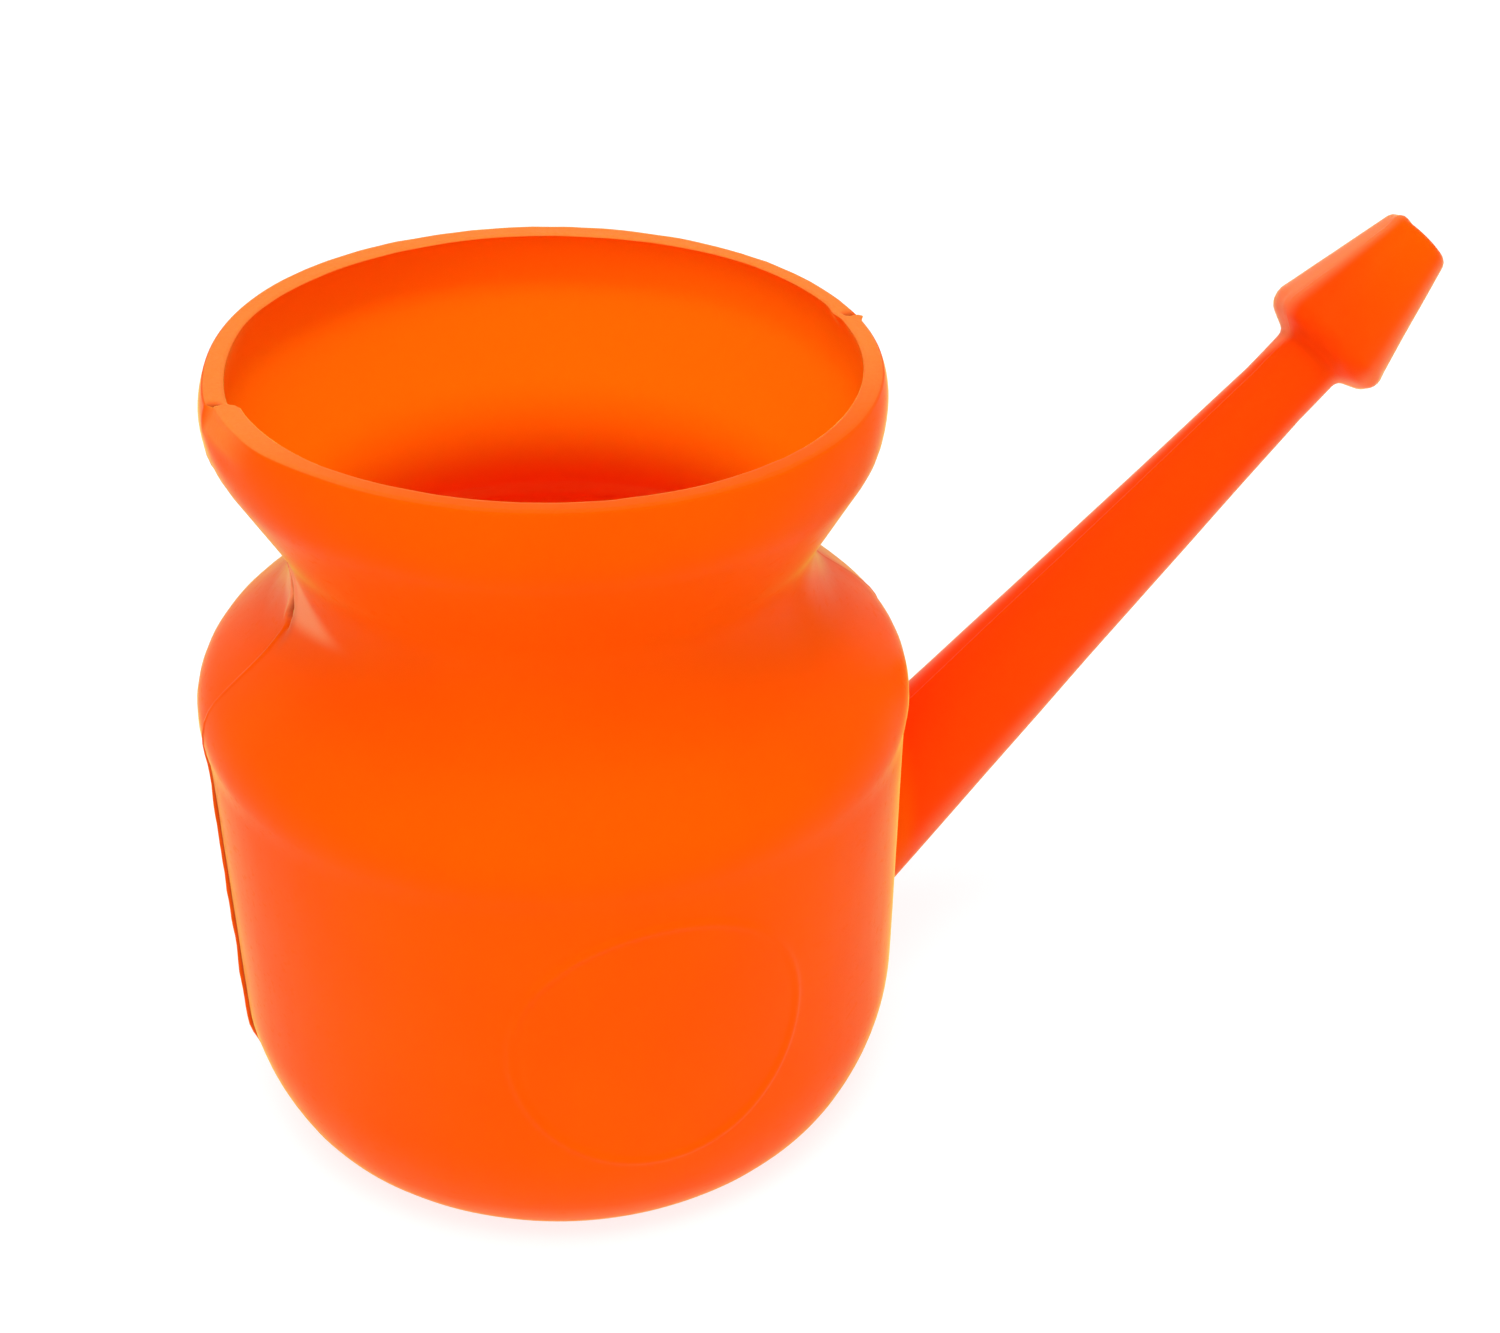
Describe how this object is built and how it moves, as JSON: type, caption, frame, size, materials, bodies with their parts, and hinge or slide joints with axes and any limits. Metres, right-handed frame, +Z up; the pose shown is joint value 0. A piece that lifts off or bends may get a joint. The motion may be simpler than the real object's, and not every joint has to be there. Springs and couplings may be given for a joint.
{
  "type": "neti pot",
  "caption": "Blow-moulded plastic neti pot: a round pot with a flared mouth and narrow waist, and a slanted hollow spout ending in a cone-shaped nose piece.",
  "frame": {"origin": "on the pot's axis, in the plane of the ring that the pot stands on", "axes": "+Z up along the pot's axis, +X towards the side that the spout points to, and the mould's parting plane is Y = 0"},
  "size_m": [0.1686, 0.0884, 0.1094],
  "materials": {
    "orange_plastic": "smooth semi-gloss polyethylene, slightly translucent at thin edges"
  },
  "bodies": {
    "root": {"pot": "orange_plastic"}
  },
  "joints": []
}
